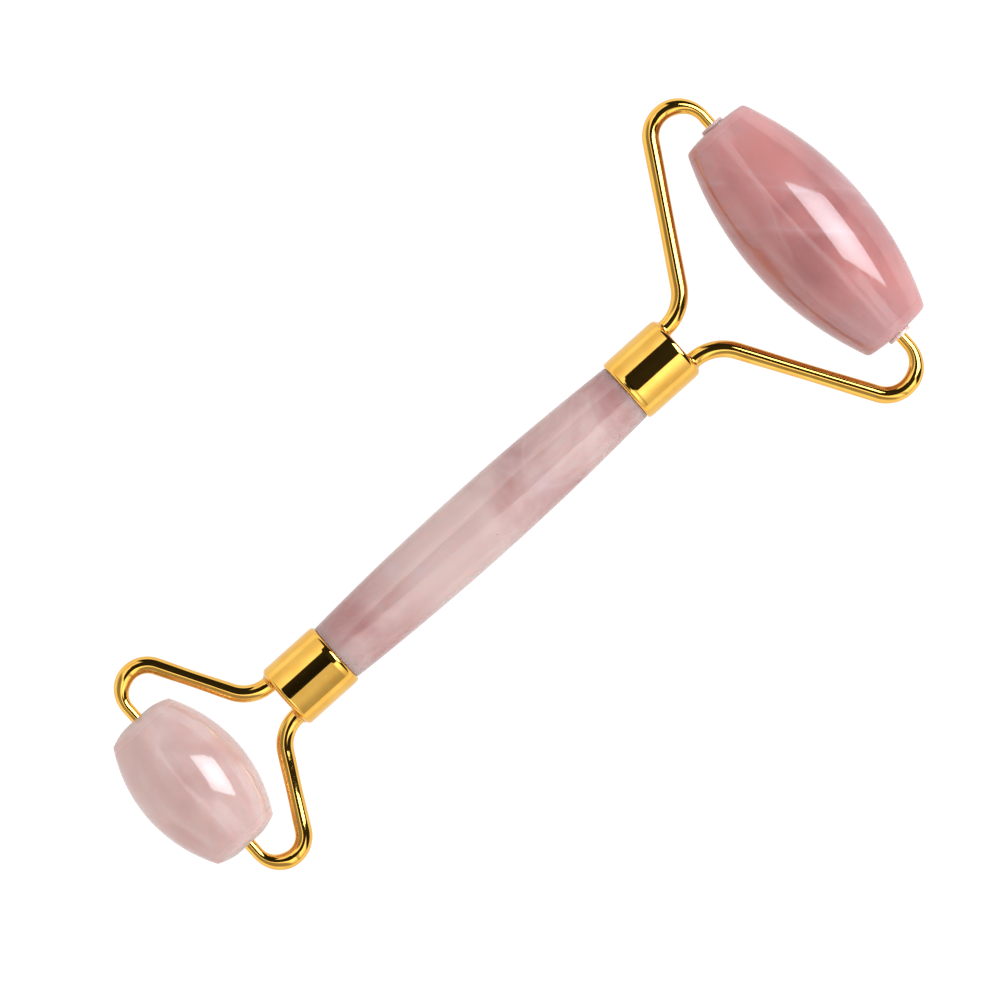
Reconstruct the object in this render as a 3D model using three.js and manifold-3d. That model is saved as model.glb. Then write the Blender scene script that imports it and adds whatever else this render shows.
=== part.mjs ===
// Double-ended face roller: a stone grip with a metal cap and a two-arm wire fork at each
// end, and in each fork a stone barrel that turns freely on the arms' pins.
// Millimetres, +Z up. The roller lies flat: the grip runs along X with the large barrel at
// +X, both barrels turn about axes along Y, and the large barrel touches Z = 0. The origin
// is the middle of the footprint.

import * as THREE from "three";
import { mergeVertices } from "three/addons/utils/BufferGeometryUtils.js";
import Module from "manifold-3d";

const wasm = await Module();
wasm.setup();

const QUARTER_TURN = Math.PI / 2;

// Driving dimensions -----------------------------------------------------------------

const GRIP_HALF_LENGTH = 29.7; // between the caps, from the middle
const GRIP_WAIST_RADIUS = 5.9;
const GRIP_END_RADIUS = 4.95;
const TENON_RADIUS = 4.2;
const TENON_LENGTH = 7.3;

const CAP_LENGTH = 10.5;
const CAP_RADIUS = 5.45;
const CAP_BORE_RADIUS = 4.75;
const CAP_END_WALL = 1.4;
const CAP_MOUTH_ROUNDING = 0.35;
const CAP_END_ROUNDING = { along: 0.55, across: 1.1 };

const ADHESIVE_END_CLEARANCE = 0.4; // unfilled length at each end of the sleeve
const SEAT_GAP = 0.05; // between pieces that sit on or in each other
const RUNNING_GAP = 0.08; // between a pin and its bush, on the radius

const WIRE_ROOT_RADIUS = 1.33;
const WIRE_SPAN_RADIUS = 1.25; // in the middle of the straight span
const WIRE_PIN_RADIUS = 0.95;
const WIRE_ROOT_OFFSET = 3.25; // wire axis from the grip's axis, where it leaves the cap
const WIRE_TAIL = 2.3; // length inside the cap's end wall and just past it
const WIRE_LEAD_OUT = 0.3; // straight length outside the cap before the first bend
const BEAD_SIZE = 0.42;

const BUSH_SLEEVE_RADIUS = 1.55;
const BUSH_SLEEVE_LENGTH = 5.0;
const BUSH_FLANGE_RADIUS = 1.95;
const BUSH_FLANGE_THICKNESS = 0.6;
const PIN_REACH_IN_BUSH = 4.6; // from the flange's outer face

// The two ends differ in size. side is the end's direction along X, reach the distance
// from the grip's middle to the barrel's axis, slant the angle between the grip's axis and
// an arm's straight span, and crown the radius of the barrel's lengthwise curve.
const ENDS = [
  {
    name: "large",
    side: 1,
    reach: 66.65,
    rootBend: 7.0,
    slant: THREE.MathUtils.degToRad(59),
    loopBend: 4.6,
    barrel: { radius: 10.1, crown: 51.3, rimHalfLength: 20.8, halfLength: 21.1, bushSink: 0 },
    stoneColour: 0xc98a8c,
  },
  {
    name: "small",
    side: -1,
    reach: 59.05,
    rootBend: 5.8,
    slant: THREE.MathUtils.degToRad(60.8),
    loopBend: 4.0,
    barrel: { radius: 8.97, crown: 23.35, rimHalfLength: 12.05, halfLength: 12.85, bushSink: 0.65 },
    stoneColour: 0xdcbcba,
  },
];
const RIM_ROUNDING = 0.5; // rounded corner between a barrel's side and its end
const BORE_GAP = 0.08; // between a bush's sleeve and the stone around it

// The grip's axis is level with the large barrel's, and X = 0 is midway between the two
// barrels' outer surfaces.
const AXIS_HEIGHT = ENDS[0].barrel.radius;
const FRONT = ENDS[0].reach + ENDS[0].barrel.radius;
const BACK = ENDS[1].reach + ENDS[1].barrel.radius;
const GRIP_MIDDLE_X = (BACK - FRONT) / 2;

// Facets -----------------------------------------------------------------------------

const BARREL_SIDES = 40;
const GRIP_SIDES = 40;
const BUSH_SIDES = 24;
const WIRE_SIDES = 12;
const WIRE_STEP = 1.3; // length of one facet along a wire

// Materials --------------------------------------------------------------------------

const goldPlate = new THREE.MeshStandardMaterial({ color: 0xe0ac46, roughness: 0.12, metalness: 1 });
const brazeMetal = new THREE.MeshStandardMaterial({ color: 0xd9a544, roughness: 0.25, metalness: 1 });
const clearNylon = new THREE.MeshStandardMaterial({ color: 0xeee2dc, roughness: 0.35, metalness: 0 });
const curedAdhesive = new THREE.MeshStandardMaterial({ color: 0xd8cfa8, roughness: 0.5, metalness: 0 });
const gripStone = new THREE.MeshStandardMaterial({ color: 0xd7b4b2, roughness: 0.15, metalness: 0 });

// Helpers ----------------------------------------------------------------------------

// A solid of revolution about the X axis, from [distance along X, radius] points.
function turnedAboutX(profile, sides) {
  const points = profile.map(([along, radius]) => new THREE.Vector2(radius, -along));
  return new THREE.LatheGeometry(points.reverse(), sides).rotateZ(QUARTER_TURN);
}

// A solid of revolution about the Y axis, from [distance along Y, radius] points.
function turnedAboutY(profile, sides) {
  return new THREE.LatheGeometry(profile.map(([along, radius]) => new THREE.Vector2(radius, along)), sides);
}

// Points [along, radius] of a quarter ellipse from the end of the curved side to the flat
// end face: centre is the ellipse's centre and direction is +1 or -1 along the axis.
function roundedCorner(centre, size, direction, steps) {
  return Array.from({ length: steps + 1 }, (_, i) => {
    const angle = (i / steps) * QUARTER_TURN;
    return [
      centre[0] + direction * size.along * Math.sin(angle),
      centre[1] + size.across * Math.cos(angle),
    ];
  });
}

function toSolid(geometry) {
  const bare = new THREE.BufferGeometry();
  bare.setAttribute("position", geometry.getAttribute("position"));
  bare.setIndex(geometry.getIndex());
  const merged = mergeVertices(bare, 1e-4);
  return new wasm.Manifold(
    new wasm.Mesh({
      numProp: 3,
      vertProperties: merged.getAttribute("position").array,
      triVerts: merged.getIndex().array,
    }),
  );
}

function toGeometry(solid) {
  const mesh = solid.getMesh();
  const geometry = new THREE.BufferGeometry();
  geometry.setAttribute("position", new THREE.BufferAttribute(mesh.vertProperties, 3));
  geometry.setIndex(new THREE.BufferAttribute(mesh.triVerts, 1));
  geometry.computeVertexNormals();
  return geometry;
}

const object = new THREE.Group();
const assembly = new THREE.Group();
assembly.position.set(GRIP_MIDDLE_X, 0, AXIS_HEIGHT);
object.add(assembly);

function addPiece(name, geometry, material) {
  const mesh = new THREE.Mesh(geometry, material);
  mesh.name = name;
  assembly.add(mesh);
  return mesh;
}

// Grip -------------------------------------------------------------------------------

// The side is one long arc from the waist to both ends, then a shoulder and a tenon.
function gripGeometry() {
  const steps = 8;
  const drop = GRIP_WAIST_RADIUS - GRIP_END_RADIUS;
  const arcRadius = (GRIP_HALF_LENGTH ** 2 + drop ** 2) / (2 * drop);
  const side = Array.from({ length: steps + 1 }, (_, i) => {
    const along = GRIP_HALF_LENGTH * (-1 + (2 * i) / steps);
    return [along, GRIP_WAIST_RADIUS - arcRadius + Math.sqrt(arcRadius ** 2 - along ** 2)];
  });
  const tenonEnd = GRIP_HALF_LENGTH + TENON_LENGTH;
  return turnedAboutX(
    [
      [-tenonEnd, 0],
      [-tenonEnd, TENON_RADIUS],
      [-GRIP_HALF_LENGTH, TENON_RADIUS],
      ...side,
      [GRIP_HALF_LENGTH, TENON_RADIUS],
      [tenonEnd, TENON_RADIUS],
      [tenonEnd, 0],
    ],
    GRIP_SIDES,
  );
}

// Caps -------------------------------------------------------------------------------

const CAP_MOUTH = GRIP_HALF_LENGTH + SEAT_GAP;
const CAP_END = CAP_MOUTH + CAP_LENGTH;

// A cup that opens towards the grip, with a hole in its end wall for each arm.
function capGeometry() {
  const floor = CAP_END - CAP_END_WALL;
  const mouthRounding = { along: CAP_MOUTH_ROUNDING, across: CAP_MOUTH_ROUNDING };
  const mouthCorner = [CAP_MOUTH + CAP_MOUTH_ROUNDING, CAP_RADIUS - CAP_MOUTH_ROUNDING];
  const endCorner = [CAP_END - CAP_END_ROUNDING.along, CAP_RADIUS - CAP_END_ROUNDING.across];
  const cup = turnedAboutX(
    [
      [floor, 0],
      [floor, CAP_BORE_RADIUS],
      [CAP_MOUTH, CAP_BORE_RADIUS],
      ...roundedCorner(mouthCorner, mouthRounding, -1, 2).reverse(),
      ...roundedCorner(endCorner, CAP_END_ROUNDING, 1, 4),
      [CAP_END, 0],
    ],
    GRIP_SIDES,
  );
  const hole = new THREE.CylinderGeometry(
    WIRE_ROOT_RADIUS + SEAT_GAP,
    WIRE_ROOT_RADIUS + SEAT_GAP,
    CAP_END_WALL * 3,
    BUSH_SIDES,
  ).rotateZ(QUARTER_TURN);
  const holes = [1, -1].map((hand) => hole.clone().translate(CAP_END, hand * WIRE_ROOT_OFFSET, 0));
  return toGeometry(holes.reduce((solid, cutter) => solid.subtract(toSolid(cutter)), toSolid(cup)));
}

function adhesiveGeometry() {
  const inner = TENON_RADIUS + SEAT_GAP;
  const outer = CAP_BORE_RADIUS - SEAT_GAP;
  const from = CAP_MOUTH + ADHESIVE_END_CLEARANCE;
  const to = GRIP_HALF_LENGTH + TENON_LENGTH - ADHESIVE_END_CLEARANCE;
  return turnedAboutX([[from, inner], [from, outer], [to, outer], [to, inner], [from, inner]], GRIP_SIDES);
}

// Arms -------------------------------------------------------------------------------

// A flat path through corner points, each inner corner rounded to its own bend radius.
function bentPath(corners, bends) {
  const path = new THREE.Path();
  path.moveTo(corners[0].x, corners[0].y);
  bends.forEach((bend, i) => {
    const corner = corners[i + 1];
    const before = corner.clone().sub(corners[i]).normalize();
    const after = corners[i + 2].clone().sub(corner).normalize();
    const turn = Math.acos(before.dot(after));
    const hand = Math.sign(before.cross(after));
    const start = corner.clone().addScaledVector(before, -bend * Math.tan(turn / 2));
    const centre = start.clone().addScaledVector(new THREE.Vector2(-before.y, before.x), hand * bend);
    const startAngle = start.clone().sub(centre).angle();
    path.lineTo(start.x, start.y);
    path.absarc(centre.x, centre.y, bend, startAngle, startAngle + hand * turn, hand < 0);
  });
  path.lineTo(corners.at(-1).x, corners.at(-1).y);
  return path;
}

class FlatPathCurve extends THREE.Curve {
  constructor(path) {
    super();
    this.path = path;
  }
  getPoint(t, target = new THREE.Vector3()) {
    const point = this.path.getPoint(t);
    return target.set(point.x, point.y, 0);
  }
}

// The wire is fullest at the root and round the loop, a little thinner along the straight
// span, and tapers to a pin over the second half of the loop. Lengths run from the tail.
function wireRadius(length, stretchEnds) {
  const [, rootBendEnd, spanEnd, loopEnd] = stretchEnds;
  const spanMiddle = (rootBendEnd + spanEnd) / 2;
  const loopMiddle = (spanEnd + loopEnd) / 2;
  const { smoothstep, lerp } = THREE.MathUtils;
  if (length < spanMiddle) {
    return lerp(WIRE_ROOT_RADIUS, WIRE_SPAN_RADIUS, smoothstep(length, rootBendEnd, spanMiddle));
  }
  if (length < loopMiddle) {
    return lerp(WIRE_SPAN_RADIUS, WIRE_ROOT_RADIUS, smoothstep(length, spanMiddle, spanEnd));
  }
  return lerp(WIRE_ROOT_RADIUS, WIRE_PIN_RADIUS, smoothstep(length, loopMiddle, loopEnd));
}

// A round bar along a curve. It is swept at radius 1, and then each ring of vertices is
// scaled about its own station on the curve. Where absarc has joined an arc on with a line
// of no length, that line isn't counted as a stretch.
function wireGeometry(path) {
  const curve = new FlatPathCurve(path);
  const stretchEnds = path.getCurveLengths().filter((end, i, ends) => end - (ends[i - 1] ?? 0) > WIRE_STEP / 100);
  const steps = Math.round(curve.getLength() / WIRE_STEP);
  const section = new THREE.Shape().absarc(0, 0, 1, 0, 2 * Math.PI, false);
  const swept = new THREE.ExtrudeGeometry(section, {
    steps,
    curveSegments: WIRE_SIDES / 2,
    bevelEnabled: false,
    extrudePath: curve,
  });
  const stations = curve.getSpacedPoints(steps);
  const position = swept.getAttribute("position");
  const vertex = new THREE.Vector3();
  for (let i = 0; i < position.count; i++) {
    vertex.fromBufferAttribute(position, i);
    const gaps = stations.map((station) => station.distanceToSquared(vertex));
    const nearest = gaps.indexOf(Math.min(...gaps));
    const radius = wireRadius((nearest / steps) * stretchEnds.at(-1), stretchEnds);
    vertex.sub(stations[nearest]).multiplyScalar(radius).add(stations[nearest]);
    position.setXYZ(i, vertex.x, vertex.y, vertex.z);
  }
  return swept;
}

// From the tail inside the cap, out of the end wall, along the slanted span, round the
// loop and back in along the barrel's axis. hand is +1 on the left arm and -1 on the right.
function armGeometry(end, hand) {
  const rootTangent = end.rootBend * Math.tan(end.slant / 2);
  const rootCorner = CAP_END + WIRE_LEAD_OUT + rootTangent;
  const loopCorner = WIRE_ROOT_OFFSET + (end.reach - rootCorner) * Math.tan(end.slant);
  const flangeFace = end.barrel.halfLength - end.barrel.bushSink + BUSH_FLANGE_THICKNESS;
  const corners = [
    [CAP_END - WIRE_TAIL, WIRE_ROOT_OFFSET],
    [rootCorner, WIRE_ROOT_OFFSET],
    [end.reach, loopCorner],
    [end.reach, flangeFace - PIN_REACH_IN_BUSH],
  ].map(([x, y]) => new THREE.Vector2(end.side * x, hand * y));
  return wireGeometry(bentPath(corners, [end.rootBend, end.loopBend]));
}

// A ring with a hollow-curved outside, in the corner between an arm and the cap.
function beadGeometry() {
  const steps = 3;
  const inner = WIRE_ROOT_RADIUS + SEAT_GAP;
  const hollow = Array.from({ length: steps + 1 }, (_, i) => {
    const angle = (i / steps) * QUARTER_TURN;
    return [BEAD_SIZE * (1 - Math.cos(angle)), inner + BEAD_SIZE * (1 - Math.sin(angle))];
  });
  return turnedAboutX([[0, inner], ...hollow.slice(0, -1), [BEAD_SIZE, inner], [0, inner]], BUSH_SIDES);
}

// Barrels ----------------------------------------------------------------------------

// The side is an arc with its middle at Y = 0, the corner is rounded, the end is gently
// domed down to a flat seat for the bush's flange, and the bore runs right through.
function barrelGeometry(barrel) {
  const steps = 6;
  const bore = BUSH_SLEEVE_RADIUS + BORE_GAP;
  const seatRadius = BUSH_FLANGE_RADIUS + 2 * BORE_GAP;
  const sideRadius = (y) => barrel.radius - barrel.crown + Math.sqrt(barrel.crown ** 2 - y ** 2);
  const sideEnd = barrel.rimHalfLength - RIM_ROUNDING;
  const rimRadius = sideRadius(sideEnd) - RIM_ROUNDING;
  const seat = barrel.halfLength - barrel.bushSink;
  const side = Array.from({ length: steps }, (_, i) => {
    const y = (sideEnd * i) / steps;
    return [y, sideRadius(y)];
  });
  const rounding = { along: RIM_ROUNDING, across: RIM_ROUNDING };
  const half = [...side, ...roundedCorner([sideEnd, rimRadius], rounding, 1, 2), [barrel.halfLength, seatRadius]];
  if (barrel.bushSink > 0) half.push([seat, seatRadius]);
  half.push([seat, bore]);
  const otherHalf = half.slice(1).map(([y, radius]) => [-y, radius]).reverse();
  return turnedAboutY([...otherHalf, ...half, otherHalf[0]], BARREL_SIDES);
}

// A sleeve in the stone's bore with a flange outside it, at the barrel's +Y end.
function bushGeometry(barrel) {
  const bore = WIRE_PIN_RADIUS + RUNNING_GAP;
  const seat = barrel.halfLength - barrel.bushSink + SEAT_GAP;
  const innerEnd = seat - BUSH_SLEEVE_LENGTH;
  const face = seat + BUSH_FLANGE_THICKNESS - SEAT_GAP;
  return turnedAboutY(
    [
      [innerEnd, bore],
      [innerEnd, BUSH_SLEEVE_RADIUS],
      [seat, BUSH_SLEEVE_RADIUS],
      [seat, BUSH_FLANGE_RADIUS],
      [face, BUSH_FLANGE_RADIUS],
      [face, bore],
      [innerEnd, bore],
    ],
    BUSH_SIDES,
  );
}

// Assembly ---------------------------------------------------------------------------

addPiece("handle_stone", gripGeometry(), gripStone);

for (const end of ENDS) {
  const turn = end.side > 0 ? 0 : Math.PI;
  addPiece(`${end.name}_cap`, capGeometry().rotateZ(turn), goldPlate);
  addPiece(`${end.name}_cap_adhesive`, adhesiveGeometry().rotateZ(turn), curedAdhesive);

  const barrelStone = new THREE.MeshStandardMaterial({ color: end.stoneColour, roughness: 0.12, metalness: 0 });
  const roller = addPiece(`${end.name}_roller_stone`, barrelGeometry(end.barrel), barrelStone);
  roller.position.x = end.side * end.reach;

  for (const [handName, hand] of [["left", 1], ["right", -1]]) {
    addPiece(`${end.name}_arm_${handName}`, armGeometry(end, hand), goldPlate);

    const bead = addPiece(`${end.name}_bead_${handName}`, beadGeometry().rotateZ(turn), brazeMetal);
    bead.position.set(end.side * (CAP_END + SEAT_GAP), hand * WIRE_ROOT_OFFSET, 0);

    const bushTurn = hand > 0 ? 0 : Math.PI;
    const bush = addPiece(`${end.name}_bush_${handName}`, bushGeometry(end.barrel).rotateZ(bushTurn), clearNylon);
    bush.position.x = end.side * end.reach;
  }
}

export default object;
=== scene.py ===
import math

import bmesh
import bpy
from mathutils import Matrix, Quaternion, Vector, noise


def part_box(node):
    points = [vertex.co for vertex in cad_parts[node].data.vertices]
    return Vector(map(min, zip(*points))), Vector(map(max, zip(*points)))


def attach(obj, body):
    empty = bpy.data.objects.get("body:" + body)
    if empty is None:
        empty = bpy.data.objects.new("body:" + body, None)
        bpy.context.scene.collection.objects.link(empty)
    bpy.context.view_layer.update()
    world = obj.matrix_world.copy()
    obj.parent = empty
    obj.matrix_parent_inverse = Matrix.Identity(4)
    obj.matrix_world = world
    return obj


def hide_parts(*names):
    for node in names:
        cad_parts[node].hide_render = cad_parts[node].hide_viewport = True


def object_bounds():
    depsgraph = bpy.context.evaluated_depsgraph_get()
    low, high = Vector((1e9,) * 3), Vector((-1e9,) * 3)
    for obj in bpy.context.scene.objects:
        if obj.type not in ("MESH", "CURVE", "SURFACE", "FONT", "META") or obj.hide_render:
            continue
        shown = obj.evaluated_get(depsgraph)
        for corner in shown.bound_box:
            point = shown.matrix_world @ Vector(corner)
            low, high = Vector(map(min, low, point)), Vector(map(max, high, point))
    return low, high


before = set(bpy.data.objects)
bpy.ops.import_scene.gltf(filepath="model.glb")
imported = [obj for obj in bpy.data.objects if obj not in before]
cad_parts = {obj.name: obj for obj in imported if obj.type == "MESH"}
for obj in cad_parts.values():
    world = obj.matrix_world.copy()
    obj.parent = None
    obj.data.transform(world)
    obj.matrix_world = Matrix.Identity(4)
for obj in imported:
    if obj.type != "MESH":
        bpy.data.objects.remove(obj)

# A double-ended rose quartz face roller with gold-plated fittings, lying flat and seen
# from straight above. The frame's own pieces give every position. Lengths in this file
# are in millimetres until a mesh is made.

MM = 0.001
QUARTER_TURN = math.pi / 2

CAD_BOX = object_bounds()


# Dimensions ---------------------------------------------------------------------------


def node_box(node):
    """The lowest and highest corner of a frame node, in millimetres."""
    return [Vector(corner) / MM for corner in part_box(node)]


def node_middle(node):
    low, high = node_box(node)
    return (low + high) / 2


def node_half_size(node):
    low, high = node_box(node)
    return (high - low) / 2


SEAT_GAP = 0.05

GRIP_MIDDLE = node_middle("handle_stone")
GRIP_WAIST_RADIUS = node_half_size("handle_stone").z
GRIP_END_RADIUS = 4.95
TENON_RADIUS = 4.2
TENON_LENGTH = 7.3
GRIP_HALF_LENGTH = node_half_size("handle_stone").x - TENON_LENGTH

CAP_RADIUS = node_half_size("large_cap").z
CAP_BORE_RADIUS = 4.75
CAP_END_WALL = 1.4
CAP_MOUTH = GRIP_HALF_LENGTH + SEAT_GAP
CAP_END = CAP_MOUTH + 2 * node_half_size("large_cap").x

WIRE_ROOT_RADIUS = node_half_size("large_arm_left").z
WIRE_SPAN_RADIUS = 1.25
WIRE_PIN_RADIUS = 0.95
WIRE_ROOT_OFFSET = node_middle("large_bead_left").y
WIRE_TAIL = 2.3
WIRE_LEAD_OUT = 0.3
WIRE_TIP = 0.3  # how far from either end the wire is rounded off
WIRE_TIP_SHARE = 0.6  # of the wire's radius is left at its very end
WIRE_SIDES = 40
ARC_STEP = math.radians(2.5)
BEAD_SIZE = 0.42
LOOP_PULL_IN = 0.1  # keeps the round wire inside the frame's faceted one

BUSH_SLEEVE_RADIUS = 1.55
BUSH_SLEEVE_LENGTH = 5.0
BUSH_FLANGE_RADIUS = node_half_size("large_bush_left").z
BUSH_FLANGE_THICKNESS = 0.6
PIN_REACH_IN_BUSH = 4.6
BORE_GAP = 0.08

# A cap's roundings are (along the axis, across it). Its polish is how far polishing has
# drawn the side in next to the rim, and over what length.
ENDS = [
    {
        "name": "large",
        "side": 1,
        "root_bend": 7.0,
        "slant": math.radians(59),
        "loop_bend": 4.6,
        "crown": 51.3,
        "rim_half_length": 20.8,
        "rim_rounding": 1.0,
        "bush_sink": 0,
        "mouth_rounding": (0.5, 0.35),
        "mouth_polish": (0.045, 0.75),
        "end_rounding": (0.85, 0.5),
        "end_polish": (0.03, 0.6),
    },
    {
        "name": "small",
        "side": -1,
        "root_bend": 5.8,
        "slant": math.radians(60.8),
        "loop_bend": 4.0,
        "crown": 23.35,
        "rim_half_length": 12.05,
        "rim_rounding": 0.7,
        "bush_sink": 0.65,
        "mouth_rounding": (0.7, 0.42),
        "mouth_polish": (0.03, 0.6),
        "end_rounding": (0.75, 1.1),
        "end_polish": (0.0, 0.7),
    },
]
for end in ENDS:
    stone = end["name"] + "_roller_stone"
    end["middle"] = node_middle(stone)
    end["radius"] = node_half_size(stone).z
    end["half_length"] = node_half_size(stone).y
    end["reach"] = abs(end["middle"].x - GRIP_MIDDLE.x)


# Meshes -------------------------------------------------------------------------------


def add_piece(name, vertices, faces, body, material, sharp_angle=35):
    """A smooth-shaded piece from millimetre vertices, which stands for the node it is named after."""
    node = name.replace("_surface", "")
    mesh = bpy.data.meshes.new(name)
    mesh.from_pydata([Vector(vertex) * MM for vertex in vertices], [], faces)
    mesh.shade_smooth()
    mesh.set_sharp_from_angle(angle=math.radians(sharp_angle))
    mesh.materials.append(material)
    piece = bpy.data.objects.new(name, mesh)
    bpy.context.scene.collection.objects.link(piece)
    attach(piece, body)
    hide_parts(node)
    return piece


def lathe(profile, place, sides):
    """Vertices and faces of a solid of revolution. profile holds (along, radius) points in
    order, on the axis at both ends or else closed on itself, and place(along, radius,
    angle) turns one of them into a point."""
    vertices = []
    rings = []
    for along, radius in profile:
        count = 1 if radius == 0 else sides
        rings.append(range(len(vertices), len(vertices) + count))
        vertices += [place(along, radius, 2 * math.pi * i / count) for i in range(count)]
    pairs = list(zip(rings, rings[1:]))
    if len(rings[0]) > 1:
        pairs.append((rings[-1], rings[0]))
    faces = []
    for ring, after in pairs:
        for i in range(sides):
            j = (i + 1) % sides
            near = [ring[i % len(ring)], ring[j % len(ring)]]
            far = [after[j % len(after)], after[i % len(after)]]
            faces.append(list(dict.fromkeys(near + far)))
    return vertices, faces


def about_x(middle, side=1, relief=None):
    """Places a turned piece along X. side is -1 for a piece that faces -X, and relief
    gives how far a point of the surface is cut in."""

    def place(along, radius, angle):
        point = Vector((side * along, radius * math.sin(side * angle), radius * math.cos(side * angle)))
        if relief and radius > 0:
            depth = relief(point)
            point.y *= 1 - depth / radius
            point.z *= 1 - depth / radius
        return point + middle

    return place


def about_y(middle, side=1, relief=None):
    """Places a turned piece along Y. side is -1 for a piece that faces -Y."""

    def place(along, radius, angle):
        point = Vector((radius * math.cos(side * angle), side * along, -radius * math.sin(side * angle)))
        if relief and radius > 0:
            depth = relief(point)
            point.x *= 1 - depth / radius
            point.z *= 1 - depth / radius
        return point + middle

    return place


def hand_cut(depth, seed):
    """How far a hand-ground stone is cut in below its true shape, in waves too long and
    shallow to see except in its outline and its reflections."""
    waves_per_mm = 0.06
    shift = Vector((seed, 2.7 * seed, -1.3 * seed))

    def relief(point):
        return depth * (0.5 + 0.5 * noise.noise(point * waves_per_mm + shift))

    return relief


def corner(centre, size, direction, steps, start=0, stop=QUARTER_TURN):
    """Points of an arc of an ellipse, as a rule a quarter, from a side to an end face.
    direction is the way that the end face looks along the axis, 1 or -1."""
    points = []
    for angle in spaced(start, stop, steps):
        along = centre[0] + direction * size[0] * math.sin(angle)
        points.append((along, centre[1] + size[1] * math.cos(angle)))
    return points


def spaced(start, stop, count):
    """The ends of count equal steps from start to stop, with start itself."""
    return [start + (stop - start) * i / count for i in range(count + 1)]


def add_handle(material):
    """The grip: a barrel on one long arc, with a tenon at either end."""
    drop = GRIP_WAIST_RADIUS - GRIP_END_RADIUS
    arc_radius = (GRIP_HALF_LENGTH**2 + drop**2) / (2 * drop)
    shoulder = 0.12

    def side_radius(along):
        return GRIP_WAIST_RADIUS - arc_radius + math.sqrt(arc_radius**2 - along**2)

    side_end = GRIP_HALF_LENGTH - shoulder
    side = [(along, side_radius(along)) for along in spaced(-side_end, side_end, count=110)]
    centre = (side_end, side_radius(side_end) - shoulder)
    edge = corner(centre, (shoulder, shoulder), direction=1, steps=5)
    tenon_end = GRIP_HALF_LENGTH + TENON_LENGTH
    end = [(GRIP_HALF_LENGTH, TENON_RADIUS), (tenon_end, TENON_RADIUS), (tenon_end, 0)]
    right = edge[1:] + end
    left = [(-along, radius) for along, radius in reversed(right)]
    place = about_x(GRIP_MIDDLE, relief=hand_cut(depth=0.06, seed=3.1))
    vertices, faces = lathe(left + side + right, place, sides=144)
    add_piece("handle_stone_surface", vertices, faces, "frame", material)


def add_cap(end, material):
    """A cap turned in one piece with its end wall, which has a hole for each arm."""
    floor = CAP_END - CAP_END_WALL
    side_start = CAP_MOUTH + end["mouth_rounding"][0]
    side_end = CAP_END - end["end_rounding"][0]
    mouth_draw, mouth_length = end["mouth_polish"]
    end_draw, end_length = end["end_polish"]

    def side_radius(along):
        from_mouth = max(0, 1 - (along - side_start) / mouth_length)
        from_end = max(0, 1 - (side_end - along) / end_length)
        return CAP_RADIUS - mouth_draw * from_mouth**2 - end_draw * from_end**2

    inside = [(floor, 0), (floor, CAP_BORE_RADIUS), (CAP_MOUTH, CAP_BORE_RADIUS)]
    mouth_centre = (side_start, side_radius(side_start) - end["mouth_rounding"][1])
    end_centre = (side_end, side_radius(side_end) - end["end_rounding"][1])
    mouth = corner(mouth_centre, end["mouth_rounding"], direction=-1, steps=14)[::-1]
    side = [(along, side_radius(along)) for along in spaced(side_start, side_end, count=60)[1:-1]]
    outer_end = corner(end_centre, end["end_rounding"], direction=1, steps=14)
    profile = inside + mouth + side + outer_end + [(CAP_END, 0)]
    vertices, faces = lathe(profile, about_x(GRIP_MIDDLE, end["side"]), sides=128)
    name = end["name"] + "_cap_surface"
    piece = add_piece(name, vertices, faces, "frame", material)
    for hand in (1, -1):
        cut_hole(piece, end, hand)


def cut_hole(piece, end, hand):
    """Cuts the hole for one arm through a cap's end wall."""
    hole_radius = WIRE_ROOT_RADIUS + SEAT_GAP
    start, stop = -2 * CAP_END_WALL, CAP_END_WALL
    profile = [(start, 0), (start, hole_radius), (stop, hole_radius), (stop, 0)]
    middle = GRIP_MIDDLE + Vector((end["side"] * CAP_END, hand * WIRE_ROOT_OFFSET, 0))
    vertices, faces = lathe(profile, about_x(middle, end["side"]), sides=48)
    mesh = bpy.data.meshes.new("hole")
    mesh.from_pydata([vertex * MM for vertex in vertices], [], faces)
    cutter = bpy.data.objects.new("hole", mesh)
    bpy.context.scene.collection.objects.link(cutter)
    cut = piece.modifiers.new("hole", "BOOLEAN")
    cut.object = cutter
    cut.operation = "DIFFERENCE"
    cut.solver = "EXACT"
    graph = bpy.context.evaluated_depsgraph_get()
    whole = bpy.data.meshes.new_from_object(piece.evaluated_get(graph))
    piece.modifiers.clear()
    old = piece.data
    piece.data = whole
    bpy.data.meshes.remove(old)
    bpy.data.objects.remove(cutter)


def smoothstep(value, low, high):
    t = min(max((value - low) / (high - low), 0), 1)
    return t * t * (3 - 2 * t)


def blend(low, high, t):
    return low + (high - low) * t


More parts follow.
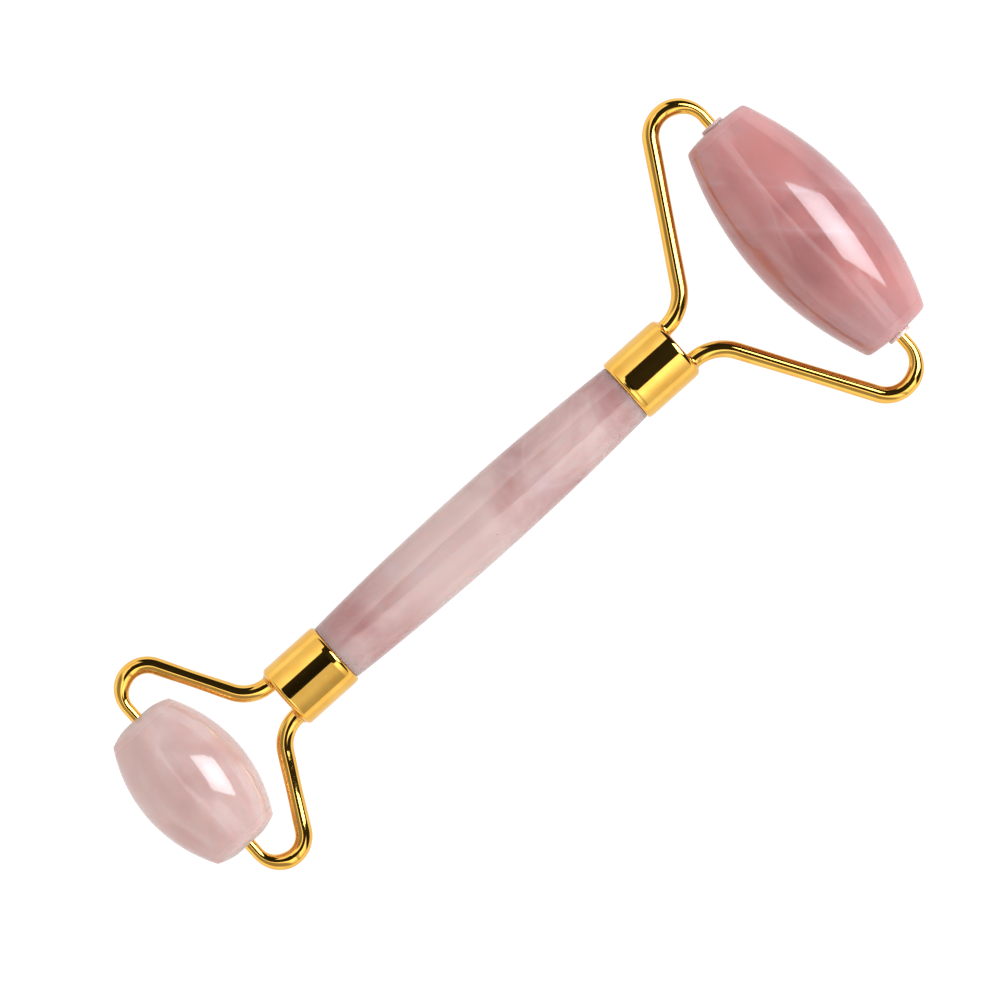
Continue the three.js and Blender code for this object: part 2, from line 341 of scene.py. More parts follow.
def bent_path(corners, bends):
    """Stations (point, tangent, length so far) along straight stretches joined by arcs, and
    the length at the end of each stretch. They are closer together at the rounded tips."""
    stations = []
    ends = []
    start = corners[0]
    length = 0
    tip_steps = 5
    past_tip = 1.5 * WIRE_TIP
    up = Vector((0, 0, 1))
    for i, bend in enumerate(bends):
        before = (corners[i + 1] - corners[i]).normalized()
        after = (corners[i + 2] - corners[i + 1]).normalized()
        turn = before.angle(after)
        hand = 1 if before.cross(after).z > 0 else -1
        arc_start = corners[i + 1] - before * bend * math.tan(turn / 2)
        straight = (arc_start - start).length
        steps = spaced(0, straight, max(2, round(straight)))
        if i == 0:
            steps = spaced(0, WIRE_TIP, tip_steps) + [step for step in steps if step > past_tip]
        stations += [(start + before * step, before, length + step) for step in steps[:-1]]
        length += straight
        ends.append(length)
        pole = up * hand
        inwards = pole.cross(before)
        centre = arc_start + inwards * bend
        for angle in spaced(0, turn, max(8, round(turn / ARC_STEP)))[:-1]:
            tangent = before * math.cos(angle) + inwards * math.sin(angle)
            outwards = tangent.cross(pole)
            stations.append((centre + outwards * bend, tangent, length + angle * bend))
        length += turn * bend
        ends.append(length)
        start = centre + after.cross(pole) * bend
    straight = (corners[-1] - start).length
    steps = spaced(0, straight, max(2, round(straight)))
    steps = [step for step in steps if step < straight - past_tip]
    steps += spaced(straight - WIRE_TIP, straight, tip_steps)
    direction = (corners[-1] - corners[-2]).normalized()
    stations += [(start + direction * step, direction, length + step) for step in steps]
    ends.append(length + straight)
    return stations, ends


def wire_radius(length, ends):
    """Fullest at the root and round the loop, a little thinner along the straight span, and
    down to a pin over the second half of the loop. Both tips are rounded."""
    _, root_bend_end, span_end, loop_end, whole = ends
    span_middle = (root_bend_end + span_end) / 2
    loop_middle = (span_end + loop_end) / 2
    if length < span_middle:
        t = smoothstep(length, root_bend_end, span_middle)
        radius = blend(WIRE_ROOT_RADIUS, WIRE_SPAN_RADIUS, t)
    elif length < loop_middle:
        t = smoothstep(length, span_middle, span_end)
        radius = blend(WIRE_SPAN_RADIUS, WIRE_ROOT_RADIUS, t)
    else:
        t = smoothstep(length, loop_middle, loop_end)
        radius = blend(WIRE_ROOT_RADIUS, WIRE_PIN_RADIUS, t)
    into_tip = 1 - min(length, whole - length, WIRE_TIP) / WIRE_TIP
    return radius * blend(WIRE_TIP_SHARE, 1, math.sqrt(max(0, 1 - into_tip**2)))


def add_arm(end, hand, material):
    """One arm of a fork: out of the cap, round the root bend, along the slant, round the
    loop and into the bush."""
    root_tangent = end["root_bend"] * math.tan(end["slant"] / 2)
    root_corner = CAP_END + WIRE_LEAD_OUT + root_tangent
    slant_rise = (end["reach"] - root_corner) * math.tan(end["slant"])
    loop_corner = WIRE_ROOT_OFFSET + slant_rise - LOOP_PULL_IN
    flange_face = end["half_length"] - end["bush_sink"] + BUSH_FLANGE_THICKNESS
    corners = [
        (CAP_END - WIRE_TAIL, WIRE_ROOT_OFFSET),
        (root_corner, WIRE_ROOT_OFFSET),
        (end["reach"], loop_corner),
        (end["reach"], flange_face - PIN_REACH_IN_BUSH),
    ]
    route = [GRIP_MIDDLE + Vector((end["side"] * x, hand * y, 0)) for x, y in corners]
    stations, ends = bent_path(route, [end["root_bend"], end["loop_bend"]])
    up = Vector((0, 0, 1))
    vertices = []
    for point, tangent, length in stations:
        radius = wire_radius(length, ends)
        across = up.cross(tangent)
        for i in range(WIRE_SIDES):
            angle = 2 * math.pi * i / WIRE_SIDES
            vertices.append(point + (across * math.cos(angle) + up * math.sin(angle)) * radius)
    faces = []
    last = (len(stations) - 1) * WIRE_SIDES
    for ring in range(0, last, WIRE_SIDES):
        after = ring + WIRE_SIDES
        for i in range(WIRE_SIDES):
            j = (i + 1) % WIRE_SIDES
            faces.append([ring + i, ring + j, after + j, after + i])
    faces.append(list(range(WIRE_SIDES))[::-1])
    faces.append([last + i for i in range(WIRE_SIDES)])
    name = f"{end['name']}_arm_{'left' if hand > 0 else 'right'}"
    add_piece(name + "_surface", vertices, faces, "frame", material)


def add_bead(end, hand, material):
    """The hollow-curved ring of braze where an arm leaves its cap, a little uneven."""
    inner = WIRE_ROOT_RADIUS - SEAT_GAP
    outer = WIRE_ROOT_RADIUS + SEAT_GAP + BEAD_SIZE
    back = -0.5 * SEAT_GAP
    profile = [(back, inner), (back, outer)]
    for angle in spaced(0, QUARTER_TURN, count=10):
        along = BEAD_SIZE * (1 - math.cos(angle))
        profile.append((along, outer - BEAD_SIZE * math.sin(angle)))
    profile.append((BEAD_SIZE, inner))
    middle = GRIP_MIDDLE + Vector((end["side"] * (CAP_END + SEAT_GAP), hand * WIRE_ROOT_OFFSET, 0))

    deepest = 0.05
    fade = 0.1
    waves_per_mm = 1.3
    shift = Vector((hand * 7.1, end["side"] * 3.3, 0))

    def uneven(point):
        swell = 0.5 + 0.5 * noise.noise(point * waves_per_mm + shift)
        return deepest * swell * max(0, min(1, (point.yz.length - inner) / fade))

    vertices, faces = lathe(profile, about_x(middle, end["side"], uneven), sides=64)
    name = f"{end['name']}_bead_{'left' if hand > 0 else 'right'}"
    add_piece(name + "_surface", vertices, faces, "frame", material, sharp_angle=60)


def add_roller(end, material):
    """A barrel on one arc, with a rounded rim and a shallow dome round the bush at either
    end. The rim runs smoothly into both."""
    bore = BUSH_SLEEVE_RADIUS + BORE_GAP
    seat_radius = BUSH_FLANGE_RADIUS + 2 * BORE_GAP
    seat = end["half_length"] - end["bush_sink"]
    rounding = end["rim_rounding"]
    crown_centre = end["radius"] - end["crown"]

    def side_radius(along):
        return crown_centre + math.sqrt(end["crown"] ** 2 - along**2)

    dome_width = side_radius(end["rim_half_length"]) - seat_radius
    dome_tilt = math.atan(QUARTER_TURN * (end["half_length"] - end["rim_half_length"]) / dome_width)
    rim_stop = QUARTER_TURN - dome_tilt
    rim_along = end["rim_half_length"] - rounding * math.sin(rim_stop)
    rim_crown = end["crown"] - rounding
    rim_start = math.asin(rim_along / rim_crown)
    rim_centre = (rim_along, crown_centre + rim_crown * math.cos(rim_start))
    side_end = end["crown"] * math.sin(rim_start)
    side = [(along, side_radius(along)) for along in spaced(0, side_end, count=44)]
    rim = corner(rim_centre, (rounding, rounding), 1, 12, rim_start, rim_stop)
    dome_start, dome_radius = rim[-1]
    dome = []
    for t in spaced(0, 1, count=12)[1:]:
        along = blend(dome_start, end["half_length"], math.sin(t * QUARTER_TURN))
        dome.append((along, blend(dome_radius, seat_radius, t)))
    half = side + rim[1:] + dome
    if end["bush_sink"] > 0:
        half.append((seat, seat_radius))
    half.append((seat, bore))
    other_half = [(-along, radius) for along, radius in reversed(half[1:])]
    relief = hand_cut(depth=0.09, seed=5.3 * end["side"])
    cut_radius = seat_radius + 1.5

    def outside_only(point):
        return relief(point) * smoothstep(point.xz.length, seat_radius, cut_radius)

    place = about_y(end["middle"], relief=outside_only)
    vertices, faces = lathe(other_half + half, place, sides=176)
    body = end["name"] + "_roller"
    slot = end["name"] + "_roller_stone"
    add_piece(slot + "_surface", vertices, faces, body, material)


def add_bush(end, hand, material):
    """A flanged sleeve with its flange's edges rounded."""
    bore = WIRE_PIN_RADIUS + BORE_GAP
    seat = end["half_length"] - end["bush_sink"] + SEAT_GAP
    face = seat + BUSH_FLANGE_THICKNESS - SEAT_GAP
    edge = 0.15
    seat_edge = 0.04
    inner_end = seat - BUSH_SLEEVE_LENGTH
    profile = [(inner_end, bore), (inner_end, BUSH_SLEEVE_RADIUS), (seat, BUSH_SLEEVE_RADIUS)]
    seat_corner = (seat + seat_edge, BUSH_FLANGE_RADIUS - seat_edge)
    face_corner = (face - edge, BUSH_FLANGE_RADIUS - edge)
    profile += corner(seat_corner, (seat_edge, seat_edge), direction=-1, steps=3)[::-1]
    profile += corner(face_corner, (edge, edge), direction=1, steps=5)
    profile += [(face, bore + edge), (face - edge, bore)]
    place = about_y(end["middle"], hand)
    vertices, faces = lathe(profile, place, sides=72)
    name = f"{end['name']}_bush_{'left' if hand > 0 else 'right'}"
    add_piece(name + "_surface", vertices, faces, end["name"] + "_roller", material)


# Materials ----------------------------------------------------------------------------


class Graph:
    """A node tree with short calls. Inputs are given by name or place, as a value or as
    another node's output."""

    def __init__(self, tree):
        self.tree = tree
        tree.nodes.clear()

    def add(self, kind, inputs=None, **settings):
        node = self.tree.nodes.new(kind)
        for key, value in settings.items():
            setattr(node, key, value)
        for key, value in (inputs or {}).items():
            if isinstance(value, bpy.types.NodeSocket):
                self.tree.links.new(value, node.inputs[key])
            else:
                node.inputs[key].default_value = value
        return node

    def math(self, operation, *values):
        return self.add("ShaderNodeMath", dict(enumerate(values)), operation=operation).outputs[0]

    def noise(self, vector, scale, detail=3, roughness=0.55, distortion=0):
        inputs = {
            "Vector": vector,
            "Scale": scale,
            "Detail": detail,
            "Roughness": roughness,
            "Distortion": distortion,
        }
        return self.add("ShaderNodeTexNoise", inputs).outputs["Fac"]

    def ramp(self, value, low, high, start=0.0, stop=1.0):
        """value from low to high, turned smoothly into start to stop and held outside."""
        inputs = {"Value": value, "From Min": low, "From Max": high, "To Min": start, "To Max": stop}
        return self.add("ShaderNodeMapRange", inputs, interpolation_type="SMOOTHSTEP").outputs["Result"]

    def mix(self, factor, one, other):
        node = self.add("ShaderNodeMix", data_type="RGBA")
        for socket, value in ((node.inputs[0], factor), (node.inputs[6], one), (node.inputs[7], other)):
            if isinstance(value, bpy.types.NodeSocket):
                self.tree.links.new(value, socket)
            else:
                socket.default_value = value
        return node.outputs[2]

    def mix_values(self, factor, one, other):
        return self.add("ShaderNodeMix", {0: factor, 2: one, 3: other}, data_type="FLOAT").outputs[0]

    def swing(self, value, size):
        """A noise value turned into one that swings about zero, by up to half of size."""
        return self.math("MULTIPLY", self.math("SUBTRACT", value, 0.5), size)

    def shift(self, vector, offset):
        return self.add("ShaderNodeVectorMath", {0: vector, 1: offset}, operation="ADD").outputs[0]

    def dot(self, vector, other):
        node = self.add("ShaderNodeVectorMath", {0: vector, 1: other}, operation="DOT_PRODUCT")
        return node.outputs["Value"]

    def distance(self, vector, other):
        node = self.add("ShaderNodeVectorMath", {0: vector, 1: other}, operation="DISTANCE")
        return node.outputs["Value"]

    def stretch(self, vector, scale, turn=(0, 0, 0)):
        inputs = {"Vector": vector, "Scale": scale, "Rotation": turn}
        return self.add("ShaderNodeMapping", inputs, vector_type="POINT").outputs[0]

    def millimetres(self):
        """The point on the piece in millimetres. It turns with the piece."""
        here = self.add("ShaderNodeTexCoord").outputs["Object"]
        return self.add("ShaderNodeVectorMath", {0: here, "Scale": 1 / MM}, operation="SCALE").outputs[0]


def new_material(name):
    material = bpy.data.materials.new(name)
    material.use_nodes = True
    return material, Graph(material.node_tree)


def finish_material(graph, shader):
    graph.add("ShaderNodeOutputMaterial", {"Surface": shader.outputs[0]})


def rgba(red, green, blue):
    return (red, green, blue, 1)


def fracture(graph, point, normal, offset, width, wave):
    """A healed fracture plane in stone: a thin pale line where the plane meets the surface,
    broken up into patches, with a faint veil on one side of it. Returns line and veil."""
    veil_width = 3.2
    normal = Vector(normal).normalized()
    ripple = graph.noise(graph.shift(point, tuple(normal * offset)), scale=0.13)
    distance = graph.math("ADD", graph.dot(point, normal), graph.swing(ripple, wave))
    distance = graph.math("SUBTRACT", distance, offset)
    patches = graph.noise(graph.shift(point, tuple(normal * -offset * 2)), scale=0.1, detail=2)
    patches = graph.ramp(patches, 0.35, 0.6)
    line = graph.ramp(graph.math("ABSOLUTE", distance), 0.0, width, 1.0, 0.0)
    one_side = graph.math("GREATER_THAN", distance, 0.0)
    veil = graph.math("MULTIPLY", graph.ramp(distance, 0.0, veil_width, 1.0, 0.0), one_side)
    return graph.math("MULTIPLY", line, patches), graph.math("MULTIPLY", veil, patches)


def fine_net(graph, point):
    """Faint hairlines in a loose net, which shows only in patches."""
    jitter = graph.add("ShaderNodeTexNoise", {"Vector": point, "Scale": 0.3, "Detail": 3})
    inputs = {"Vector": graph.shift(point, jitter.outputs["Color"]), "Scale": 0.22}
    net = graph.add("ShaderNodeTexVoronoi", inputs, feature="DISTANCE_TO_EDGE")
    lines = graph.ramp(net.outputs["Distance"], 0.0, 0.035, 1.0, 0.0)
    patches = graph.ramp(graph.noise(point, scale=0.12, detail=2), 0.5, 0.68)
    return graph.math("MULTIPLY", lines, patches)


def stone_colour(graph, here, point, hairlines, stone):
    """The stone's colour: clouds, then zones of its own tones and zones of painted light and shade,
    drifts, hairlines, fractures and specks.
    """
    deep, pale, milk = [rgba(*stone[tone]) for tone in ("deep", "pale", "milk")]
    iron = rgba(0.16, 0.07, 0.05)
    veil_strength = 0.45
    line_strength = 0.5
    scale = stone["cloud_scale"]
    clouds = graph.noise(point, scale, detail=4, distortion=0.5)
    colour = graph.mix(graph.ramp(clouds, 0.32, 0.68), deep, pale)
    for centre, radius, strength, tone in stone["tone_and_painted_light_zones"]:
        away = graph.math("ADD", graph.distance(here, centre), graph.swing(clouds, radius))
        zone = graph.ramp(away, 0.0, radius, strength, 0.0)
        colour = graph.mix(zone, colour, rgba(*stone[tone]))
    drifting = graph.stretch(point, (1.0, 0.45, 1.0), (0, 0, 0.7))
    drifts = graph.noise(drifting, scale * 1.9, detail=5, roughness=0.6, distortion=1.1)
    drifts = graph.math("MULTIPLY", graph.ramp(drifts, 0.46, 0.74), stone["drift"])
    colour = graph.mix(drifts, colour, milk)
    colour = graph.mix(graph.math("MULTIPLY", hairlines, stone["hairline"]), colour, milk)
    for normal, offset, width, strength in stone["fractures"]:
        line, veil = fracture(graph, here, normal, offset, width, stone["wave"])
        colour = graph.mix(graph.math("MULTIPLY", veil, veil_strength * strength), colour, milk)
        colour = graph.mix(graph.math("MULTIPLY", line, line_strength * strength), colour, milk)
    specks = graph.ramp(graph.noise(point, scale=1.7, detail=1), 0.8, 0.84)
    return graph.mix(graph.math("MULTIPLY", specks, 0.5), colour, iron)


def stone_roughness(graph, here, point, hairlines, stone):
    """The stone's polish: smears, duller hairlines, and duller towards the rims."""
    smears = graph.noise(graph.stretch(point, (1.0, 0.3, 1.0)), scale=0.5, detail=4)
    roughness = graph.ramp(smears, 0.3, 0.75, 0.06, 0.11)
    roughness = graph.math("ADD", roughness, graph.math("MULTIPLY", hairlines, 0.1))
    along = graph.add("ShaderNodeSeparateXYZ", {0: here}).outputs["Y"]
    dull_start, dull_end = stone["dull_rim"]
    dullness = graph.ramp(graph.math("ABSOLUTE", along), dull_start, dull_end, 0.0, 0.3)
    return graph.math("ADD", roughness, dullness)


def rose_quartz(name, stone):
    """Polished rose quartz: clouds between a deep and a pale pink, zones where one of the
    stone's tones gathers, zones of painted light and shade on the large roller, milky
    drifts, healed fractures, faint hairlines, and a soft, uneven polish. Light goes some
    way into it, red the furthest."""
    material, graph = new_material(name)
    seed = stone["seed"]
    here = graph.millimetres()
    point = graph.shift(here, (seed, -2 * seed, 0.5 * seed))
    hairlines = fine_net(graph, point)
    waves = graph.noise(point, 0.45, 2)
    pits = graph.ramp(graph.noise(point, 5.0, 2), 0.7, 0.8, 0.0, -0.08)
    bump = graph.add(
        "ShaderNodeBump",
        {"Height": graph.math("ADD", waves, pits), "Strength": 0.5, "Distance": 0.00002},
    )
    shader = graph.add(
        "ShaderNodeBsdfPrincipled",
        {
            "Base Color": stone_colour(graph, here, point, hairlines, stone),
            "Roughness": stone_roughness(graph, here, point, hairlines, stone),
            "Normal": bump.outputs[0],
            "IOR": 1.6,
            "Subsurface Weight": 0.85,
            "Subsurface Scale": 0.012,
            "Subsurface Radius": (1.0, 0.5, 0.45),
        },
        subsurface_method="RANDOM_WALK",
    )
    finish_material(graph, shader)
    return material


def gold(name, colour, deep, roughness, scratch):
    """Polished gold-coloured metal with shallow dents, faint smears, hairline scratches
    that cross each other, and patches of a deeper tone."""
    material, graph = new_material(name)
    point = graph.millimetres()
    tone = graph.ramp(graph.noise(point, 0.35, 4), 0.35, 0.7)
    shade = graph.mix(tone, rgba(*colour), rgba(*deep))
    smears = graph.noise(graph.stretch(point, (0.6, 1.4, 1.0), (0, 0, 0.5)), 0.9, 5)
    rough = graph.ramp(smears, 0.35, 0.75, roughness * 0.7, roughness * 1.6)
    lines = graph.noise(graph.stretch(point, (0.7, 14.0, 9.0), (0.4, 0, 0.3)), 1.0, 2)
    crossed = graph.noise(graph.stretch(point, (11.0, 0.6, 12.0), (0, 0.3, -0.4)), 1.0, 2)
    marks = graph.math("ADD", graph.ramp(lines, 0.66, 0.72), graph.ramp(crossed, 0.68, 0.74))
    rough = graph.math("ADD", rough, graph.math("MULTIPLY", marks, 0.08 * scratch))
    dents = graph.noise(point, 0.8, 2)
    height = graph.math("SUBTRACT", dents, graph.math("MULTIPLY", marks, 0.02 * scratch))
    bump = graph.add("ShaderNodeBump", {"Height": height, "Strength": 0.3, "Distance": 0.000008})
    shader = graph.add(
        "ShaderNodeBsdfPrincipled",
        {"Base Color": shade, "Metallic": 1.0, "Roughness": rough, "Normal": bump.outputs[0]},
    )
    finish_material(graph, shader)
    return material


def nylon():
    """Natural nylon: pale and cloudy, and it lets light in."""
    material, graph = new_material("clear_nylon_finish")
    point = graph.millimetres()
    haze = graph.noise(point, 1.2, 3)
    colour = graph.mix(graph.ramp(haze, 0.35, 0.7), rgba(0.74, 0.47, 0.44), rgba(0.84, 0.60, 0.57))
    grain = graph.noise(point, 6.0, 3)
    bump = graph.add("ShaderNodeBump", {"Height": grain, "Strength": 0.25, "Distance": 0.00003})
    shader = graph.add(
        "ShaderNodeBsdfPrincipled",
        {
            "Base Color": colour,
            "Roughness": graph.ramp(grain, 0.3, 0.7, 0.4, 0.55),
            "Normal": bump.outputs[0],
            "IOR": 1.53,
            "Subsurface Weight": 0.8,
            "Subsurface Scale": 0.001,
            "Subsurface Radius": (1.0, 0.8, 0.7),
        },
    )
    finish_material(graph, shader)
    return material


def adhesive():
    """Cured adhesive: yellowish, with small bubbles."""
    material, graph = new_material("cured_adhesive_finish")
    point = graph.millimetres()
    bubbles = graph.add("ShaderNodeTexVoronoi", {"Vector": point, "Scale": 1.6}).outputs["Distance"]
    pits = graph.ramp(bubbles, 0.1, 0.25)
    colour = graph.mix(pits, rgba(0.55, 0.46, 0.26), rgba(0.70, 0.63, 0.40))
    bump = graph.add("ShaderNodeBump", {"Height": pits, "Strength": 0.5, "Distance": 0.0001})
    shader = graph.add(
        "ShaderNodeBsdfPrincipled",
        {
            "Base Color": colour,
            "Roughness": graph.ramp(graph.noise(point, 2.0), 0.3, 0.7, 0.35, 0.55),
            "Normal": bump.outputs[0],
        },
    )
    finish_material(graph, shader)
    return material


# A stone's zones are (middle, radius, strength, tone). Most are where one of its own tones
# gathers; on the large roller some are painted light and shade. Its fractures are (plane's
# normal, the plane's distance from the origin along it, width of the line, strength).
# wave is how far the fracture planes swing. Between the two distances of dull_rim from
# the stone's middle, its polish turns to fine grinding. The grip's ends are polished.
GRIP_STONE = {
    "deep": (0.405, 0.190, 0.179),
    "pale": (0.620, 0.462, 0.424),
    "milk": (0.580, 0.445, 0.460),
    "cloud_scale": 0.06,
    "drift": 0.14,
    "hairline": 0.05,
    "wave": 2.4,
    "seed": 11.0,
    "dull_rim": (40.0, 41.0),
    "tone_and_painted_light_zones": [
        ((-13.0, 0.0, 14.0), 20.0, 0.9, "pale"),
        ((-34.0, 0.0, 10.0), 18.0, 0.95, "deep"),
        ((2.0, 0.0, 15.0), 6.0, 0.3, "deep"),
        ((25.0, 0.0, 10.0), 20.0, 0.45, "deep"),
        ((6.5, -2.5, 15.5), 4.0, 0.4, "milk"),
        ((5.0, 3.5, 14.5), 2.2, 0.3, "milk"),
        ((-19.0, 4.0, 14.5), 2.4, 0.5, "milk"),
        ((-16.0, 0.5, 16.0), 2.2, 0.5, "milk"),
    ],
    "fractures": [
        ((0.75, 0.55, 0.35), 9.2, 0.8, 0.35),
        ((0.85, -0.45, 0.3), 9.0, 0.6, 0.5),
    ],
}
LARGE_STONE = {
    "deep": (0.372, 0.144, 0.141),
    "pale": (0.530, 0.222, 0.204),
    "milk": (0.535, 0.318, 0.316),
    "cloud_scale": 0.07,
    "drift": 0.25,
    "hairline": 0.04,
    "wave": 1.4,
    "seed": 4.0,
    "dull_rim": (17.4, 20.8),
    "tone_and_painted_light_zones": [
        ((62.3, 2.0, 14.0), 16.0, 0.5, "deep"),
        # Painted shade: deeper on the +X side, which the softbox lights.
        ((70.0, 0.0, 15.0), 10.0, 0.8, "deep"),
        # Painted light: paler on the shaded -X side.
        ((52.5, 0.0, 14.0), 9.0, 0.8, "pale"),
        ((62.3, 21.0, 14.0), 11.0, 0.6, "milk"),
        ((60.0, -19.0, 14.0), 14.0, 0.6, "milk"),
        # Painted light: paler low on the lit +X edge.
        ((74.0, 0.0, 8.0), 11.0, 0.6, "milk"),
        ((64.0, 12.0, 14.0), 9.0, 0.5, "deep"),
    ],
    "fractures": [
        ((0.717, 0.698, 0.0), 43.98, 0.9, 0.65),
        ((0.757, 0.653, 0.0), 52.15, 0.6, 0.8),
        ((-0.954, 0.298, 0.1), -53.0, 0.5, 0.5),
        ((0.80, 0.60, 0.2), 58.6, 0.7, 0.3),
    ],
}
SMALL_STONE = {
    "deep": (0.590, 0.375, 0.345),
    "pale": (0.650, 0.455, 0.418),
    "milk": (0.690, 0.570, 0.540),
    "cloud_scale": 0.1,
    "drift": 0.25,
    "hairline": 0.05,
    "wave": 1.6,
    "seed": 23.0,
    "dull_rim": (9.4, 12.0),
    "tone_and_painted_light_zones": [((-62.0, 0.0, 14.0), 10.0, 0.3, "deep")],
    "fractures": [
        ((0.97, -0.12, 0.25), -57.0, 0.8, 0.25),
        ((0.92, 0.3, 0.2), -53.0, 0.7, 0.25),
        ((0.7, -0.65, 0.3), -44.0, 0.6, 0.35),
    ],
}

grip_quartz = rose_quartz("grip_quartz", GRIP_STONE)
large_quartz = rose_quartz("large_quartz", LARGE_STONE)
small_quartz = rose_quartz("small_quartz", SMALL_STONE)
gold_plate = gold(
    "gold_plate_finish",
    colour=(0.93, 0.54, 0.11),
    deep=(0.88, 0.47, 0.082),
    roughness=0.045,
    scratch=0.5,
)
braze_metal = gold(
    "braze_finish",
    colour=(0.93, 0.57, 0.15),
    deep=(0.80, 0.42, 0.09),
    roughness=0.16,
    scratch=0.5,
)
clear_nylon = nylon()
cured_adhesive = adhesive()


# Pieces -------------------------------------------------------------------------------

add_handle(grip_quartz)
for end in ENDS:
    add_cap(end, gold_plate)
    add_roller(end, large_quartz if end["name"] == "large" else small_quartz)
    for hand in (1, -1):
        add_arm(end, hand, gold_plate)
        add_bead(end, hand, braze_metal)
        add_bush(end, hand, clear_nylon)
    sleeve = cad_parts[end["name"] + "_cap_adhesive"]
    sleeve.data.materials.clear()
    sleeve.data.materials.append(cured_adhesive)


# Floor, light and camera --------------------------------------------------------------

FLOOR_RADIUS = 4.0  # metres
FLOOR_DROP = 0.00005  # metres below the large roller
SHADE_MARGIN = 0.004  # metres, from the roller's box to where the floor starts to brighten
SHADE_FADE = 0.04  # metres, over which it does
# How brightly the floor glows: dimmed near the roller as a painted shadow, open beyond.
SHADED_FLOOR = 0.82
OPEN_FLOOR = 1.05  # as bright as the room below its horizon


def add_floor():
    """A plain white tabletop that glows. The camera sees it evenly white. In reflections, and as a
    source of light, its glow is dimmer under the roller and for a little way round it, a
    painted shadow."""
    shape = bmesh.new()
    bmesh.ops.create_circle(shape, cap_ends=True, radius=FLOOR_RADIUS, segments=96)
    mesh = bpy.data.meshes.new("floor")
    shape.to_mesh(mesh)
    shape.free()
    material, graph = new_material("floor_white")
    here = graph.add("ShaderNodeTexCoord").outputs["Object"]
    tint = graph.noise(here, 6.0, 2)
    colour = graph.mix(tint, rgba(0.11, 0.11, 0.11), rgba(0.13, 0.13, 0.13))
    x, y, _ = graph.add("ShaderNodeSeparateXYZ", {0: here}).outputs
    beyond_x = graph.math("SUBTRACT", graph.math("ABSOLUTE", x), CAD_BOX[1].x + SHADE_MARGIN)
    beyond_y = graph.math("SUBTRACT", graph.math("ABSOLUTE", y), CAD_BOX[1].y + SHADE_MARGIN)
    beyond = graph.math("MAXIMUM", beyond_x, beyond_y)
    shaded = graph.ramp(beyond, 0.0, SHADE_FADE, SHADED_FLOOR, OPEN_FLOOR)
    seen = graph.add("ShaderNodeLightPath").outputs["Is Camera Ray"]
    shader = graph.add(
        "ShaderNodeBsdfPrincipled",
        {
            "Base Color": colour,
            "Roughness": 0.9,
            "Specular IOR Level": 0.0,
            "Emission Color": rgba(1, 1, 1),
            "Emission Strength": graph.mix_values(seen, shaded, 1.0),
        },
    )
    finish_material(graph, shader)
    mesh.materials.append(material)
    floor = bpy.data.objects.new("floor", mesh)
    floor.location = (0, 0, CAD_BOX[0].z - FLOOR_DROP)
    bpy.context.scene.collection.objects.link(floor)


def add_surroundings():
    """A bright room with a dark strip overhead that runs along the grip and widens towards
    the large end, where the room is dark but for the softbox. It gives polished metal its
    dark line. Near and below the horizon the room is as white as the floor. x, y and z
    are those of the direction looked in, and each ramp goes between two levels of light."""
    world = bpy.data.worlds.new("surroundings")
    bpy.context.scene.world = world
    world.use_nodes = True
    graph = Graph(world.node_tree)
    direction = graph.add("ShaderNodeTexCoord").outputs["Generated"]
    x, y, z = graph.add("ShaderNodeSeparateXYZ", {0: direction}).outputs
    bright = graph.mix_values(graph.ramp(y, 0.0, 0.5), right_wall(graph, x, y), left_wall(graph, y))
    small_end = graph.math("MULTIPLY", bright, graph.ramp(z, 0.1, 0.6, 0.85, 0.2))
    bright = graph.mix_values(graph.ramp(x, -0.35, -0.18), small_end, bright)
    dark_end = graph.ramp(x, 0.25, 0.4)
    dark = graph.math("MAXIMUM", dark_strip(graph, x, y), dark_end)
    bright = graph.math("MULTIPLY", bright, graph.ramp(dark, 0.0, 1.0, 1.0, 0.017))
    sky = graph.ramp(z, 0.05, 0.12)
    ground = graph.ramp(sky, 0.0, 1.0, OPEN_FLOOR, 0.0)
    level = graph.math("ADD", graph.math("MULTIPLY", bright, sky), ground)
    background = graph.add("ShaderNodeBackground", {"Color": rgba(1, 1, 1), "Strength": level})
    graph.add("ShaderNodeOutputWorld", {"Surface": background.outputs[0]})
    world.cycles.sampling_method = "MANUAL"
    world.cycles.sample_map_resolution = 1024


def left_wall(graph, y):
    """The wall on the grip's +Y side, brightest at the top."""
    return graph.ramp(y, 0.55, 1.0, 1.48, 0.90)


def right_wall(graph, x, y):
    """The wall on the grip's -Y side, with a brighter panel that has a gap in it."""
    wall = graph.ramp(y, -1.0, -0.65, 0.52, 0.78)
    panel_large_end = graph.ramp(x, -0.025, 0.03)
    panel_small_end = graph.ramp(x, -0.09, -0.07, 1.0, 0.0)
    panel_width = graph.math("ADD", panel_large_end, panel_small_end)
    panel = graph.math("MULTIPLY", graph.ramp(y, -1.0, -0.55, 0.3, 1.10), panel_width)
    return graph.math("ADD", wall, panel)


def dark_strip(graph, x, y):
    """1 in the dark strip overhead and 0 outside it. The strip is wider over the large
    end, and its other end is a curve."""
    left_edge = graph.ramp(x, -0.035, 0.035, 0.53, 0.65)
    right_edge = graph.ramp(x, -0.035, 0.035, -0.225, -0.37)
    off_middle = graph.math("SUBTRACT", y, 0.15)
    curve = graph.math("MULTIPLY", off_middle, off_middle)
    small_end_edge = graph.math("MULTIPLY_ADD", curve, 0.6, -0.17)
    in_from_right = graph.ramp(graph.math("SUBTRACT", y, right_edge), -0.03, 0.03)
    in_from_left = graph.ramp(graph.math("SUBTRACT", left_edge, y), -0.03, 0.03)
    in_from_end = graph.ramp(graph.math("SUBTRACT", x, small_end_edge), -0.02, 0.02)
    strip = graph.math("MULTIPLY", in_from_right, in_from_left)
    return graph.math("MULTIPLY", strip, in_from_end)


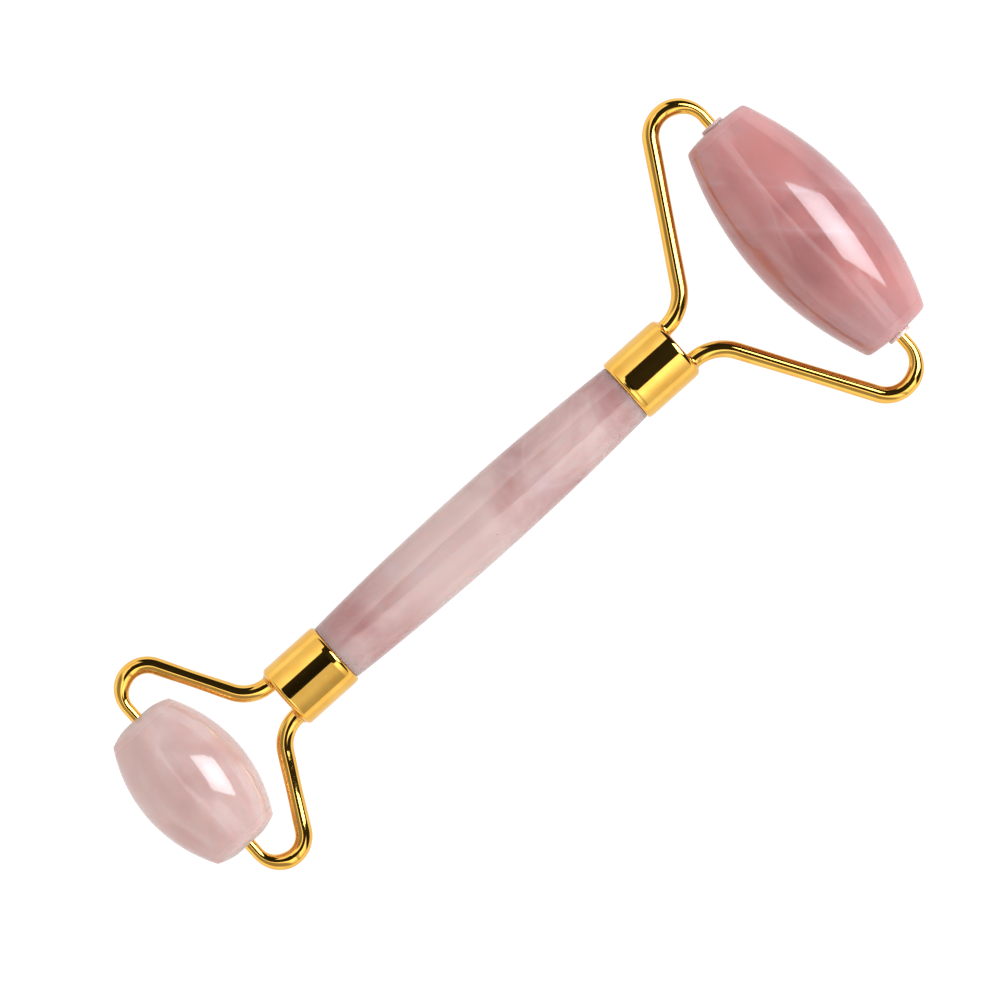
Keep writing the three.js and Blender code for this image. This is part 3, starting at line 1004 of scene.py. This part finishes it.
def add_softbox(direction, distance, width, height, turn, watts):
    """An area light that faces the grip, turned about its own middle. It's brighter at its
    middle than at its corners."""
    light = bpy.data.lights.new("softbox", "AREA")
    light.shape = "RECTANGLE"
    light.size = width
    light.size_y = height
    light.energy = watts
    light.color = (0.72, 0.82, 0.88)
    light.use_nodes = True
    graph = Graph(light.node_tree)
    place = graph.add("ShaderNodeNewGeometry").outputs["Parametric"]
    off_middle = graph.distance(place, (0.5, 0.5, 0))
    strength = graph.ramp(off_middle, 0.0, 0.6, 1.45, 0.85)
    emission = graph.add("ShaderNodeEmission", {"Strength": strength})
    graph.add("ShaderNodeOutputLight", {"Surface": emission.outputs[0]})
    softbox = bpy.data.objects.new("softbox", light)
    away = Vector(direction).normalized()
    softbox.location = GRIP_MIDDLE * MM + away * distance
    softbox.rotation_mode = "QUATERNION"
    softbox.rotation_quaternion = away.to_track_quat("Z", "Y") @ Quaternion((0, 0, 1), turn)
    softbox.visible_camera = False
    bpy.context.scene.collection.objects.link(softbox)


def add_camera():
    """Straight above the roller, turned so that the large end is at the upper right."""
    turn = math.radians(-41.95)
    width = 0.1526  # metres across the view
    sensor = 36
    lens = 180
    aim_right = 0.0029  # metres from the grip's middle, to centre the roller in the view
    aim_up = 0.00342
    camera_data = bpy.data.cameras.new("camera")
    camera_data.sensor_width = sensor
    camera_data.lens = lens
    camera = bpy.data.objects.new("camera", camera_data)
    distance = width * lens / sensor
    right = Vector((math.cos(turn), math.sin(turn), 0))
    up = Vector((-math.sin(turn), math.cos(turn), 0))
    target = GRIP_MIDDLE * MM + right * aim_right + up * aim_up
    camera.location = target + Vector((0, 0, distance))
    camera.rotation_euler = (0, 0, turn)
    bpy.context.scene.collection.objects.link(camera)
    bpy.context.scene.camera = camera


add_floor()
add_surroundings()
add_softbox(
    direction=(0.660, -0.112, 0.743),
    distance=0.69,
    width=0.456,
    height=0.475,
    turn=math.radians(-13.3),
    watts=6.1,
)
add_camera()
bpy.context.scene.view_settings.view_transform = "Standard"
